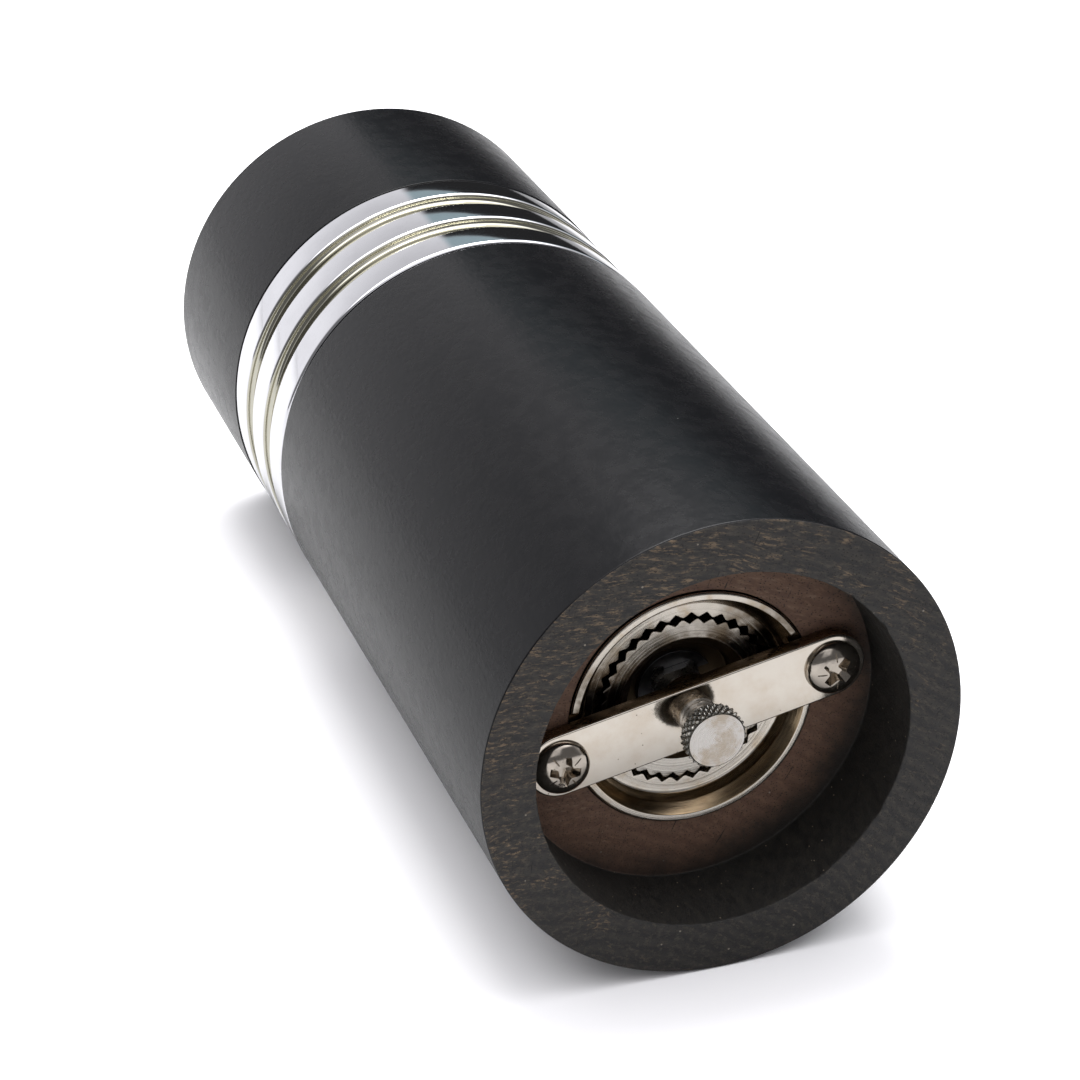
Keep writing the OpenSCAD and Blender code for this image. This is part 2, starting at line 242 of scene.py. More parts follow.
class Material:
    """A node material on the Principled shader, in object coordinates measured in millimetres."""

    def __init__(self, name, color, roughness, metallic=0.0):
        self.made = bpy.data.materials.new(name)
        self.made.use_nodes = True
        self.tree = self.made.node_tree
        self.shader = self.tree.nodes["Principled BSDF"]
        self.set("Base Color", (*color, 1))
        self.set("Roughness", roughness)
        self.set("Metallic", metallic)
        place = self.tree.nodes.new("ShaderNodeTexCoord").outputs["Object"]
        self.mm = self.vector("MULTIPLY", place, (1000, 1000, 1000))

    def set(self, socket, value):
        self.put(self.shader.inputs[socket], value)

    def put(self, socket, value):
        if isinstance(value, bpy.types.NodeSocket):
            self.tree.links.new(value, socket)
        else:
            socket.default_value = value

    def add(self, kind, inputs=(), **settings):
        made = self.tree.nodes.new(kind)
        for key, value in settings.items():
            setattr(made, key, value)
        for key, value in dict(inputs).items():
            self.put(made.inputs[key], value)
        return made

    def vector(self, operation, a, b):
        return self.add("ShaderNodeVectorMath", {0: a, 1: b}, operation=operation).outputs[0]

    def math(self, operation, a, b=0.0, clamp=False):
        return self.add("ShaderNodeMath", {0: a, 1: b}, operation=operation, use_clamp=clamp).outputs[0]

    def axes(self, place=None):
        split = self.add("ShaderNodeSeparateXYZ", {0: place or self.mm})
        return split.outputs[0], split.outputs[1], split.outputs[2]

    def join(self, x, y, z):
        return self.add("ShaderNodeCombineXYZ", {0: x, 1: y, 2: z}).outputs[0]

    def noise(self, place, scale, detail=3.0, rough=0.5, stretch=(1, 1, 1)):
        """Noise from 0 to 1, with scale in features per millimetre."""
        if stretch != (1, 1, 1):
            place = self.vector("MULTIPLY", place, stretch)
        inputs = {"Vector": place, "Scale": scale, "Detail": detail, "Roughness": rough}
        return self.add("ShaderNodeTexNoise", inputs).outputs["Fac"]

    def cells(self, place, scale, randomness=1.0):
        """Distance to the nearest random point, in cell widths."""
        made = self.add("ShaderNodeTexVoronoi", {"Vector": place, "Scale": scale, "Randomness": randomness})
        return made.outputs["Distance"]

    def between(self, value, lo, hi, to_lo=0.0, to_hi=1.0):
        """The value's place between lo and hi, smoothed and clamped, as a number from to_lo to to_hi."""
        made = self.add("ShaderNodeMapRange", {0: value, 1: lo, 2: hi, 3: to_lo, 4: to_hi},
                        interpolation_type="SMOOTHSTEP")
        return made.outputs[0]

    def mix(self, share, a, b, blend="MIX"):
        made = self.add("ShaderNodeMix", data_type="RGBA", blend_type=blend)
        for socket, value in zip((made.inputs[0], made.inputs[6], made.inputs[7]), (share, a, b)):
            self.put(socket, value if isinstance(value, (bpy.types.NodeSocket, float, int)) else (*value, 1))
        return made.outputs[2]

    def bump(self, height, depth, strength=1.0):
        """Adds relief, depth millimetres from 0 to 1 of height, on top of any relief already there."""
        made = self.add("ShaderNodeBump", {"Height": height, "Distance": depth * MM, "Strength": strength})
        before = self.shader.inputs["Normal"].links
        if before:
            self.tree.links.new(before[0].from_socket, made.inputs["Normal"])
        self.tree.links.new(made.outputs[0], self.shader.inputs["Normal"])

    def radius(self):
        x, y, _ = self.axes()
        return self.math("SQRT", self.math("ADD", self.math("MULTIPLY", x, x), self.math("MULTIPLY", y, y)))

    def turned(self, contrast=0.12, relief=0.004, lines=5.0, anisotropy=0.0):
        """Fine lines round the axis, as a lathe leaves them, in the roughness and the relief."""
        x, _, z = self.axes()
        rings = self.join(self.radius(), z, self.math("MULTIPLY", x, 0.01))
        fine = self.noise(rings, lines, 4.0, 0.7)
        base = self.shader.inputs["Roughness"].default_value
        self.set("Roughness", self.between(fine, 0.25, 0.75, base - contrast / 2, base + contrast / 2))
        self.bump(fine, relief)
        if anisotropy:
            self.set("Anisotropic", anisotropy)
            tangent = self.add("ShaderNodeTangent", direction_type="RADIAL", axis="Z")
            self.tree.links.new(tangent.outputs[0], self.shader.inputs["Tangent"])
        return fine


# ---------------------------------------------------------------- wood

# The tree's centre, from the mill's axis, seen in the growth rings of the end grain
PITH = (-41.0, 64.0)
# The side turned mostly upwards, towards the light, as a direction round the axis. The paler flecks of the end
# grain gather on it, a painted light, and the painted shade at the recess floor's edge draws back from it.
LIGHT_SIDE = (-0.5, -0.86)


def grain_place(m):
    """Coordinates that follow the growth rings: across the rings, along the rings, along the trunk."""
    x, y, z = m.axes()
    px = m.math("SUBTRACT", x, PITH[0])
    py = m.math("SUBTRACT", y, PITH[1])
    across = m.math("SQRT", m.math("ADD", m.math("MULTIPLY", px, px), m.math("MULTIPLY", py, py)))
    along = m.math("MULTIPLY", m.math("ARCTAN2", py, px), sqrt(PITH[0] ** 2 + PITH[1] ** 2))
    waver = m.noise(m.join(m.math("MULTIPLY", across, 0.4), along, m.math("MULTIPLY", z, 0.1)), 0.09, 2.0)
    across = m.math("ADD", across, m.math("MULTIPLY", waver, 3.0))
    return m.join(across, along, z)


def lacquer(name):
    """Black satin lacquer over wood: the pores telegraph through as short lines along the trunk."""
    m = Material(name, (0.0045, 0.0045, 0.0052), 0.24)
    place = grain_place(m)
    m.set("Specular IOR Level", 0.14)
    soft = m.noise(m.mm, 0.4, 3.0)
    lint = m.between(m.cells(m.mm, 0.16), 0.010, 0.018, 0.5, 0.0)
    black = m.mix(m.between(soft, 0.3, 0.7), (0.0040, 0.0041, 0.0048), (0.0052, 0.0051, 0.0058))
    m.set("Base Color", m.mix(lint, black, (0.36, 0.36, 0.34)))
    m.set("Roughness", m.between(soft, 0.3, 0.7, 0.24, 0.29))
    peel = m.noise(m.mm, 1.5, 2.0, 0.5, (1, 1, 0.6))
    fibre = m.noise(place, 2.0, 3.0, 0.6, (1, 1, 0.12))
    pores = m.between(m.cells(m.vector("MULTIPLY", place, (2.2, 2.2, 0.5)), 1.0), 0.05, 0.20)
    m.bump(peel, 0.026)
    m.bump(fibre, 0.012)
    m.bump(pores, 0.004)
    return m.made


def end_grain(name, dark, light, fleck, ring_share=0.5, corner_shade=None):
    """Sawn or turned end grain: growth rings, open pores, rays and pale flecks. The flecks gather on the side
    turned towards the light, a painted light, and an optional dark outer edge is painted shade.
    """
    m = Material(name, dark, 0.72)
    place = grain_place(m)
    across, along, _ = m.axes(place)
    ring = m.math("MULTIPLY", m.math("SINE", m.math("MULTIPLY", across, 2 * pi / 1.9)), 0.4)
    ring = m.between(m.math("ADD", ring, m.noise(place, 0.9, 4.0, 0.65)), 0.1, 1.0)
    mottle = m.noise(place, 1.0, 6.0, 0.75, (1.9, 0.7, 1.0))
    color = m.mix(m.math("MULTIPLY", ring, ring_share), dark, light)
    color = m.mix(m.between(mottle, 0.47, 0.66, 0.0, 0.95), color, light)
    x, y, _ = m.axes()
    # Painted light: pale flecks gather more on the side turned towards the light.
    toward_light = m.math("ADD", m.math("MULTIPLY", x, LIGHT_SIDE[0]), m.math("MULTIPLY", y, LIGHT_SIDE[1]))
    patch = m.math("ADD", m.noise(m.mm, 0.22, 3.0), m.math("MULTIPLY", toward_light, 0.006))
    streak = m.noise(place, 1.0, 5.0, 0.72, (2.8, 0.65, 1.0))
    warm = m.math("MULTIPLY", m.between(streak, 0.50, 0.68), m.between(patch, 0.44, 0.64, 0.06, 1.0))
    color = m.mix(m.math("MULTIPLY", warm, 0.8), color, fleck)
    pores = m.cells(m.vector("MULTIPLY", place, (1.0, 0.8, 1.0)), 3.4)
    color = m.mix(m.between(pores, 0.14, 0.34, 0.8, 0.0), color, (0.005, 0.004, 0.004))
    ray = m.noise(place, 1.0, 2.0, 0.5, (0.28, 3.2, 1.0))
    ray_zone = m.between(m.noise(m.mm, 0.09, 1.0), 0.46, 0.60)
    cut = m.math("MULTIPLY", m.between(ray, 0.66, 0.72), ray_zone)
    color = m.mix(m.math("MULTIPLY", cut, 0.8), color, (0.005, 0.004, 0.004))
    specks = m.between(m.cells(m.mm, 0.34), 0.030, 0.055, 0.85, 0.0)
    color = m.mix(specks, color, (0.30, 0.26, 0.21))
    # Painted shade: the recess floor darkens towards its corner with the wall, reaching further in on the side
    # away from the light.
    if corner_shade:
        inner, outer, stain = corner_shade
        reach = m.math("ADD", m.radius(), m.math("MULTIPLY", m.noise(m.mm, 0.22, 4.0, 0.6), 5.0))
        reach = m.math("SUBTRACT", reach, m.math("MULTIPLY", toward_light, 0.16))
        color = m.mix(m.between(reach, inner, outer), color, stain)
    m.set("Base Color", color)
    m.set("Roughness", m.between(mottle, 0.3, 0.7, 0.62, 0.80))
    m.bump(m.between(pores, 0.08, 0.34), 0.05)
    m.bump(m.noise(m.mm, 3.0, 4.0, 0.7), 0.05)
    m.bump(m.between(ray, 0.60, 0.72, 1.0, 0.0), 0.03)
    return m.made


def bored_wood(name, dark, light, run=0.08):
    """The wall of a bore, with its grain along the trunk. The smaller run is, the longer the fibres are."""
    m = Material(name, dark, 0.75)
    place = grain_place(m)
    fibre = m.noise(place, 1.2, 5.0, 0.65, (1, 1, run))
    color = m.mix(m.between(fibre, 0.35, 0.75), dark, light)
    fleck = m.between(m.cells(m.vector("MULTIPLY", m.mm, (1, 1, 0.7)), 0.9), 0.04, 0.10, 0.9, 0.0)
    color = m.mix(fleck, color, (0.22, 0.18, 0.13))
    m.set("Base Color", color)
    m.set("Roughness", m.between(fibre, 0.3, 0.7, 0.60, 0.82))
    m.bump(fibre, 0.05)
    m.bump(m.noise(m.mm, 3.5, 3.0, 0.6), 0.08)
    return m.made


# ---------------------------------------------------------------- metals and plastic

def nickel(name, color, roughness, contrast, relief, lines, anisotropy, tarnish):
    """Turned and nickel-plated steel, with brown tarnish, and a dark brown patch by the bridge: partly dirt
    where nothing wipes it, partly painted shade from the bridge.
    """
    m = Material(name, color, roughness, 1.0)
    m.turned(contrast, relief, lines, anisotropy)
    stain = m.noise(m.mm, 0.35, 4.0, 0.6)
    brown = tuple(c * k for c, k in zip(color, (0.62, 0.48, 0.30)))
    _, y, _ = m.axes()
    # Dark brown by the bridge: partly dirt, partly painted shade cast by the bridge over the burrs.
    reach = m.math("MAXIMUM", m.between(y, -13.5, -6.5), m.between(m.radius(), 7.4, 10.4, 1.0, 0.0))
    bridge_shade_and_dirt = m.math("MULTIPLY", reach, m.between(y, 0.0, 3.0, 1.0, 0.0))
    dirt = m.math("MULTIPLY", bridge_shade_and_dirt, m.between(stain, 0.30, 0.60, 0.35, 0.92))
    plate = m.mix(m.between(stain, 0.48, 0.80, 0.0, tarnish), color, brown)
    m.set("Base Color", m.mix(dirt, plate, (0.085, 0.060, 0.036)))
    m.bump(m.between(m.cells(m.mm, 1.3), 0.02, 0.08), 0.01)
    return m.made


def satin_nickel(name):
    """The pressed bridge: faint brushing across it, small pits and scratches."""
    m = Material(name, (0.74, 0.68, 0.60), 0.20, 1.0)
    brushing = m.noise(m.mm, 3.0, 4.0, 0.7, (1, 0.06, 1))
    cloud = m.noise(m.mm, 0.25, 4.0, 0.6)
    plate = m.mix(m.between(cloud, 0.35, 0.75), (0.72, 0.665, 0.59), (0.63, 0.555, 0.465))
    pits = m.between(m.cells(m.mm, 0.75), 0.03, 0.07, 0.9, 0.0)
    m.set("Base Color", m.mix(pits, plate, (0.10, 0.06, 0.035)))
    haze = m.math("ADD", brushing, m.math("MULTIPLY", cloud, 0.5))
    m.set("Roughness", m.between(haze, 0.4, 1.1, 0.08, 0.16))
    m.bump(brushing, 0.0022)
    m.bump(m.noise(m.mm, 0.18, 2.0), 0.05)
    m.bump(m.between(m.cells(m.mm, 0.75), 0.02, 0.08), 0.02)
    return m.made


def chrome(name, color, roughness):
    """Plated screws: polished, a little tarnished and finger-marked."""
    m = Material(name, color, roughness, 1.0)
    film = m.noise(m.mm, 0.8, 5.0, 0.65)
    m.set("Base Color", m.mix(m.between(film, 0.45, 0.8, 0.0, 0.7), color, tuple(c * 0.55 for c in color)))
    m.set("Roughness", m.between(film, 0.35, 0.75, roughness * 0.7, roughness * 1.8))
    m.bump(m.noise(m.mm, 4.0, 3.0, 0.6), 0.003)
    return m.made


def collar_metal(name, color):
    """Polished and clear-lacquered aluminium with faint turning lines."""
    m = Material(name, color, 0.08, 1.0)
    m.turned(0.04, 0.0004, 2.5)
    marks = m.noise(m.mm, 0.25, 4.0, 0.6)
    m.set("Base Color", m.mix(m.between(marks, 0.4, 0.7), color, tuple(c * 0.95 for c in color)))
    return m.made


def knob_metal(name):
    """The knob's flat face: pale, finely turned, with a brown stain and tiny pits."""
    m = Material(name, (0.60, 0.57, 0.54), 0.27, 1.0)
    m.turned(0.08, 0.0022, 5.0)
    stain = m.noise(m.vector("ADD", m.mm, (31.0, 4.0, 0.0)), 0.28, 5.0, 0.65)
    color = m.mix(m.between(stain, 0.46, 0.64, 0.0, 0.80), (0.60, 0.57, 0.54), (0.42, 0.35, 0.27))
    pits = m.between(m.cells(m.mm, 1.1), 0.03, 0.09, 0.8, 0.0)
    m.set("Base Color", m.mix(pits, color, (0.20, 0.16, 0.12)))
    m.bump(m.between(m.cells(m.mm, 1.1), 0.02, 0.10), 0.02)
    return m.made


def knurl_metal(name):
    """The knurled side: the same metal, darkened by dirt in the grooves and worn bright on the points."""
    m = Material(name, (0.40, 0.40, 0.37), 0.28, 1.0)
    worn = m.between(m.radius(), KNOB_HI.x - 0.34, KNOB_HI.x - 0.05)
    color = m.mix(worn, (0.08, 0.074, 0.062), (0.80, 0.78, 0.72))
    dirt = m.between(m.noise(m.mm, 2.0, 3.0), 0.5, 0.7, 0.0, 0.5)
    m.set("Base Color", m.mix(dirt, color, (0.20, 0.18, 0.14)))
    m.set("Roughness", m.between(worn, 0.0, 1.0, 0.5, 0.22))
    m.bump(m.noise(m.mm, 6.0, 3.0, 0.6), 0.01)
    return m.made


def plain_steel(name, color, roughness, direction):
    """Drawn, rolled or blued steel: streaks along direction, with small dark spots."""
    m = Material(name, color, roughness, 1.0)
    streaks = m.noise(m.mm, 3.0, 4.0, 0.65, direction)
    spots = m.noise(m.mm, 0.9, 4.0, 0.6)
    m.set("Base Color", m.mix(m.between(spots, 0.45, 0.75, 0.0, 0.6), color, tuple(c * 0.5 for c in color)))
    m.set("Roughness", m.between(streaks, 0.3, 0.7, roughness - 0.08, roughness + 0.10))
    m.bump(streaks, 0.006)
    return m.made


def nylon(name, color, roughness):
    """Moulded nylon: fine moulding grain and faint flow marks."""
    m = Material(name, color, roughness)
    flow = m.noise(m.mm, 0.4, 3.0)
    m.set("Base Color", m.mix(m.between(flow, 0.35, 0.7), color, tuple(c * 0.8 for c in color)))
    m.set("Roughness", m.between(m.noise(m.mm, 2.5, 3.0), 0.3, 0.7, roughness - 0.08, roughness + 0.08))
    m.bump(m.noise(m.mm, 4.0, 4.0, 0.6), 0.015)
    return m.made


LACQUER = lacquer("black_lacquer")
BASE_GRAIN = end_grain(
    "base_end_grain", (0.018, 0.0175, 0.0175), (0.070, 0.061, 0.051), (0.26, 0.18, 0.108), 0.25)
# The recess floor's last three values set its painted corner shade: where it starts and ends, in millimetres
# from the axis, and its colour.
FLOOR_GRAIN = end_grain(
    "recess_floor_grain", (0.115, 0.060, 0.038), (0.185, 0.105, 0.066), (0.24, 0.15, 0.095), 0.4,
    (22.5, 29.5, (0.016, 0.013, 0.010)))
RECESS_WALL = bored_wood("recess_wall_wood", (0.0050, 0.0046, 0.0040), (0.020, 0.017, 0.012), 0.6)
RAW_BORE = bored_wood("raw_bore_wood", (0.20, 0.115, 0.070), (0.33, 0.205, 0.13))
COLLAR_METAL = collar_metal("polished_aluminium", (0.82, 0.82, 0.85))
# The grooves' darker olive tint is a painted reflection of the lands' walls; the metal is the same as the
# lands.
GROOVE_METAL = collar_metal("groove_aluminium_painted_reflection", (0.55, 0.535, 0.455))
BURR_OUTER = nickel("nickel_outer_burr", (0.66, 0.61, 0.54), 0.21, 0.26, 0.032, 2.8, 0.55, 0.80)
# The dish's dark gold-brown colour is a painted reflection of what the concave wall faces.
BURR_DISH = nickel("burr_dish_painted_reflection", (0.30, 0.225, 0.14), 0.18, 0.16, 0.010, 4.0, 0.40, 0.60)
BURR_INNER = nickel("nickel_inner_burr", (0.64, 0.60, 0.54), 0.23, 0.26, 0.036, 2.8, 0.55, 0.70)
# The countersink's near-black brown is painted shade in the hollow.
BURR_PIT = nickel("countersink_painted_shade", (0.070, 0.050, 0.030), 0.46, 0.16, 0.014, 4.0, 0.30, 0.80)
BRIDGE_NICKEL = satin_nickel("satin_nickel_bridge")
# The bridge's sides are dark brown as a painted reflection of the dark recess they face.
BRIDGE_EDGE = plain_steel("bridge_edge_painted_reflection", (0.26, 0.19, 0.125), 0.30, (0.2, 1, 1))
SCREW_CHROME = chrome("screw_chrome", (0.50, 0.45, 0.39), 0.12)
KNOB_FACE = knob_metal("knob_face_nickel")
KNOB_SIDE = knurl_metal("knob_knurl_nickel")
STUD_STEEL = plain_steel("stud_thread_steel", (0.42, 0.38, 0.33), 0.30, (1, 1, 1))
SHAFT_STEEL = plain_steel("drawn_shaft_steel", (0.52, 0.51, 0.49), 0.32, (1, 1, 0.05))
BLUED_STEEL = plain_steel("blued_spring_steel", (0.13, 0.13, 0.135), 0.36, (0.3, 1, 1))
BALL_STEEL = plain_steel("bearing_ball_steel", (0.72, 0.72, 0.73), 0.12, (1, 1, 1))
ZINC_STEEL = plain_steel("zinc_plated_steel", (0.60, 0.59, 0.56), 0.34, (0.2, 1, 1))
WIRE_STEEL = plain_steel("spring_wire_steel", (0.46, 0.46, 0.47), 0.28, (1, 1, 0.3))
BLACK_NYLON = nylon("black_nylon_moulding", (0.020, 0.020, 0.021), 0.48)
WHITE_NYLON = nylon("white_nylon_moulding", (0.80, 0.78, 0.72), 0.45)


# ---------------------------------------------------------------- wooden parts

def turned_barrel():
    """The wooden body, with a chipped edge where the recess meets the sanded base."""
    top = BARREL_HI.z
    outline = rounded([
        (RECESS_R, 0, 0.22, 1), (MILL_R, 0, 0.32, 0), (MILL_R, top, 0.45, 0), (CHAMBER_R, top, 0.4, 4),
        (CHAMBER_R, SHOULDER_Z, 0.3, 4), (BURR_BORE_R, SHOULDER_Z, 0.3, 4), (BURR_BORE_R, SEAT_Z, 0, 4),
        (SEAT_R, SEAT_Z, 0, 3), (SEAT_R, RECESS_Z, 0.12, 2), (RECESS_R, RECESS_Z, 0.25, 3)], 10)

    def chips(angle, r, z):
        edge = 1 - smooth_step(abs(r - RECESS_R) + z, 0.25, 1.1)
        if edge <= 0:
            return r, z
        spot = noise.noise(Vector((cos(angle) * 9, sin(angle) * 9, 3.1)))
        rough = noise.noise(Vector((cos(angle) * 34, sin(angle) * 34, 8.7)))
        return r + edge * (0.12 * smooth_step(spot, 0.22, 0.62) + 0.08 * max(0, rough)), z

    materials = [LACQUER, BASE_GRAIN, FLOOR_GRAIN, RECESS_WALL, RAW_BORE]
    return stand_in(lathe("turned_barrel", outline, materials, 720, chips), "barrel")


def turned_head():
    """The wooden head, with the core that carries the collar and the tenon that enters the body."""
    outline = rounded([
        (0, MILL_H, 0, 0), (MILL_R, MILL_H, 0.5, 0), (MILL_R, COLLAR_HI.z, 0.15, 0),
        (CORE_R, COLLAR_HI.z, 0, 1), (CORE_R, COLLAR_LO.z, 0.3, 1), (TENON_R, COLLAR_LO.z, 0, 1),
        (TENON_R, HEAD_LO.z, 0.6, 1), (CLIP_BORE_R, HEAD_LO.z, 0.3, 1), (CLIP_BORE_R, CLIP_BORE_TOP, 0, 1),
        (HEAD_BORE_R, CLIP_BORE_TOP, 0, 1), (HEAD_BORE_R, HEAD_BORE_TOP, 0, 1), (0, HEAD_BORE_TOP, 0, 1)], 14)
    return stand_in(lathe("turned_head", outline, [LACQUER, RAW_BORE], 256), "head")


def ribbed_collar():
    """The metal collar: three lands, rounder on the side nearer the base, and two round-cornered grooves,
    tinted a darker olive as a painted reflection.
    """
    outer = min(COLLAR_HI.x, COLLAR_HI.y)
    points = [(CORE_R, COLLAR_LO.z, 0, 0)]
    for i in range(3):
        low = COLLAR_LO.z + i * (LAND_H + GROOVE_W)
        high = low + LAND_H
        points += [(outer, low, 0.48, 0), (outer, high, 0.25, 1)]
        if i < 2:
            inner = outer - GROOVE_DEPTH
            points += [(inner, high, 0.40, 1), (inner, high + GROOVE_W, 0.60, 1)]
    points.append((CORE_R, COLLAR_HI.z, 0, 0))
    return stand_in(lathe("ribbed_collar", rounded(points, 8), [COLLAR_METAL, GROOVE_METAL], 384), "collar")


def slip_washer():
    points = [(CHAMBER_R + 0.4, RING_LO.z, 0.15, 0), (RING_HI.x, RING_LO.z, 0.2, 0),
              (RING_HI.x, RING_HI.z, 0.2, 0), (CHAMBER_R + 0.4, RING_HI.z, 0.15, 0)]
    return stand_in(lathe("slip_washer", rounded(points), [BLACK_NYLON], 256), "slip_ring")


# ---------------------------------------------------------------- grinder

BURR_TURNS = 720


def outer_burr():
    """The fixed burr: a thin lip broken where the bridge crosses it, a dished wall, and fine teeth inside."""
    lip = FEMALE_LO.z
    lip_out = FEMALE_HI.x
    top = FEMALE_HI.z
    fine_top = ANNULUS_Z + 2.6
    points = [
        (lip_out - 0.90, lip, 0.20, 0), (lip_out, lip, 0.30, 0), (lip_out, SEAT_Z, 0, 0),
        (14.0, SEAT_Z, 0.1, 0), (14.0, top, 0.2, 0), (10.7, top, 0, 0), (10.5, fine_top, 0, 0),
        (10.92, ANNULUS_Z, 0.06, 0), (13.0, ANNULUS_Z, 0.5, 1), (13.45, 12.1, 0.5, 1)]

    def cut(angle, r, z):
        side = abs((angle + pi / 2) % pi - pi / 2)
        if z < RECESS_Z + 0.3:
            end = 1 - smooth_step(side, LIP_GAP_HALF - radians(1.2), LIP_GAP_HALF + radians(0.8))
            z = max(z, z + (RECESS_Z + 0.25 - z) * end)
        if r < 11.4 and z < fine_top + 0.3:
            fade = 1 - smooth_step(z, *FEMALE_RUN_OUT)
            r += TOOTH_DEPTH * vee(angle - TOOTH_PHASE, TEETH, TOOTH_SHARE) * fade
        elif r < 11.4:
            lean = (z - fine_top) * 0.11
            r += 1.1 * vee(angle - lean, OUTER_FLUTES, FLUTE_SHARE) * smooth_step(z, fine_top, fine_top + 1.5)
        return r, z

    outline = divided(rounded(points), 0.9)
    return stand_in(lathe("outer_burr", outline, [BURR_OUTER, BURR_DISH], BURR_TURNS, cut, 28), "female_burr")


def inner_burr():
    """The turning burr: a toothed cone with a countersunk face and a square hole for the shaft."""
    face = MALE_LO.z
    back = MALE_HI.z
    fine_top = face + 2.6
    tip = MALE_HI.x
    points = [
        (tip, face, 0.06, 0), (8.2, face, 0.25, 1), (7.0, face + 1.0, 0.3, 1), (7.0, MALE_RECESS_Z, 0.4, 1),
        (4.3, MALE_RECESS_Z, 0, 1), (4.3, back, 0, 0), (4.75, back, 0, 0), (4.75, back - 1, 0, 0),
        (6.4, back - 1, 0, 0), (tip - 0.55, fine_top, 0, 0)]

    def cut(angle, r, z):
        if r < 4.5:
            return SQUARE_HALF / max(abs(cos(angle)), abs(sin(angle))), z
        on_cone = r > 6.3 + (back - 1 - z) * 0.25
        if on_cone and z < fine_top - 0.01:
            depth = TOOTH_DEPTH * smooth_step(r, tip - 0.75, tip - 0.5) * (1 - smooth_step(z, *MALE_RUN_OUT))
            r -= depth * vee(angle - MALE_PHASE, MALE_TEETH, TOOTH_SHARE)
        elif on_cone and z < back - 1.2:
            lean = (z - fine_top) * 0.09
            r -= 1.3 * vee(angle + lean, INNER_FLUTES, FLUTE_SHARE) * smooth_step(z, fine_top, fine_top + 2)
        return r, z

    outline = divided(rounded(points), 0.8)
    return stand_in(lathe("inner_burr", outline, [BURR_INNER, BURR_PIT], BURR_TURNS, cut, 28), "male_burr")


def slab(outline, z0, z1, edge, steps=4):
    """Rings of points that extrude a convex outline function(inset) from z0 to z1 with rounded edges."""
    rings = []
    for k in range(steps + 1):
        a = pi / 2 * k / steps
        rings.append((edge * (1 - sin(a)), z0 + edge * (1 - cos(a))))
    for k in range(steps + 1):
        a = pi / 2 * k / steps
        rings.append((edge * (1 - cos(a)), z1 - edge * (1 - sin(a))))
    verts = []
    faces = []
    for inset, z in rings:
        verts += [(x, y, z) for x, y in outline(inset)]
    count = len(verts) // len(rings)
    for i in range(len(rings) - 1):
        for k in range(count):
            j = (k + 1) % count
            faces.append((i * count + k, i * count + j, (i + 1) * count + j, (i + 1) * count + k))
    faces.append(tuple(range(count)))
    faces.append(tuple(range(len(verts) - count, len(verts))))
    return verts, faces


def stadium(length, width, steps=24):
    """A function that gives the outline of a bar with round ends, moved in by an inset."""
    def outline(inset):
        r = width / 2 - inset
        points = []
        for end in (1, -1):
            for k in range(steps + 1):
                a = -pi / 2 + pi * k / steps
                points.append((end * ((length - width) / 2 + r * cos(a)), end * r * sin(a)))
        return points
    return outline


def disc(r, steps=64):
    """A function that gives the outline of a disc, moved in by an inset."""
    def outline(inset):
        angles = (2 * pi * k / steps for k in range(steps))
        return [((r - inset) * cos(a), (r - inset) * sin(a)) for a in angles]
    return outline


def bridge_plate():
    """The pressed bar across the recess, with the threaded boss on its inner side."""
    length = BRIDGE_HI.x - BRIDGE_LO.x
    width = BRIDGE_HI.y - BRIDGE_LO.y
    verts, faces = slab(stadium(length, width), BRIDGE_LO.z, RECESS_Z, 0.28)
    middle = (BRIDGE_LO.z + RECESS_Z) / 2
    # The inner half of the sides, the inner face and the boss take the dark brown painted reflection.
    zones = [int(max(verts[i][2] for i in face) > middle) for face in faces]
    boss, boss_faces = slab(disc(BOSS_R), RECESS_Z - 0.2, BRIDGE_HI.z, 0.2)
    faces += [tuple(i + len(verts) for i in face) for face in boss_faces]
    zones += [1] * len(boss_faces)
    made = add_mesh("bridge_plate", verts + boss, faces, [BRIDGE_NICKEL, BRIDGE_EDGE], zones)
    return stand_in(made, "bridge")


def boolean_cut(piece, cutters):
    """Cuts the cutters out of the piece and removes them."""
    for cutter in cutters:
        cut = piece.modifiers.new("cut", "BOOLEAN")
        cut.operation = "DIFFERENCE"
        cut.solver = "EXACT"
        cut.object = cutter
    bpy.context.view_layer.update()
    shaped = piece.evaluated_get(bpy.context.evaluated_depsgraph_get())
    mesh = bpy.data.meshes.new_from_object(shaped)
    piece.modifiers.clear()
    piece.data = mesh
    mesh.set_sharp_from_angle(angle=radians(35))
    for cutter in cutters:
        bpy.data.objects.remove(cutter)


def cross_points(tip, arm, notch, scale):
    """The outline of a cross recess: four tapering arms with a notched corner between each two."""
    points = []
    for quarter in range(4):
        a = quarter * pi / 2
        for x, y in ((tip, -arm * 0.8), (tip, arm * 0.8), (arm + notch, arm), (arm, arm + notch)):
            x *= scale
            y *= scale
            points.append((x * cos(a) - y * sin(a), x * sin(a) + y * cos(a)))
    return points


def prism(name, lower, upper, z0, z1):
    """A solid between two outlines of equal length, at z0 and z1."""
    n = len(lower)
    verts = [(x, y, z0) for x, y in lower] + [(x, y, z1) for x, y in upper]
    faces = [tuple(range(n)), tuple(range(n, 2 * n))]
    faces += [(k, (k + 1) % n, n + (k + 1) % n, n + k) for k in range(n)]
    return add_mesh(name, verts, faces, [])


def tick(name, angle, r0, r1, surface, width, depth):
    """A cutter for one short radial tick on a domed face whose height is surface(r)."""
    verts = []
    for r in (r0, r1):
        z = surface(r)
        for side, dz in ((-1, -0.3), (1, -0.3), (0, depth)):
            spread = side * width / 2 * (0.3 + depth) / depth
            verts.append((r * cos(angle) - spread * sin(angle), r * sin(angle) + spread * cos(angle), z + dz))
    faces = [(0, 1, 2), (3, 4, 5), (0, 1, 4, 3), (1, 2, 5, 4), (2, 0, 3, 5)]
    return add_mesh(name, verts, faces, [])


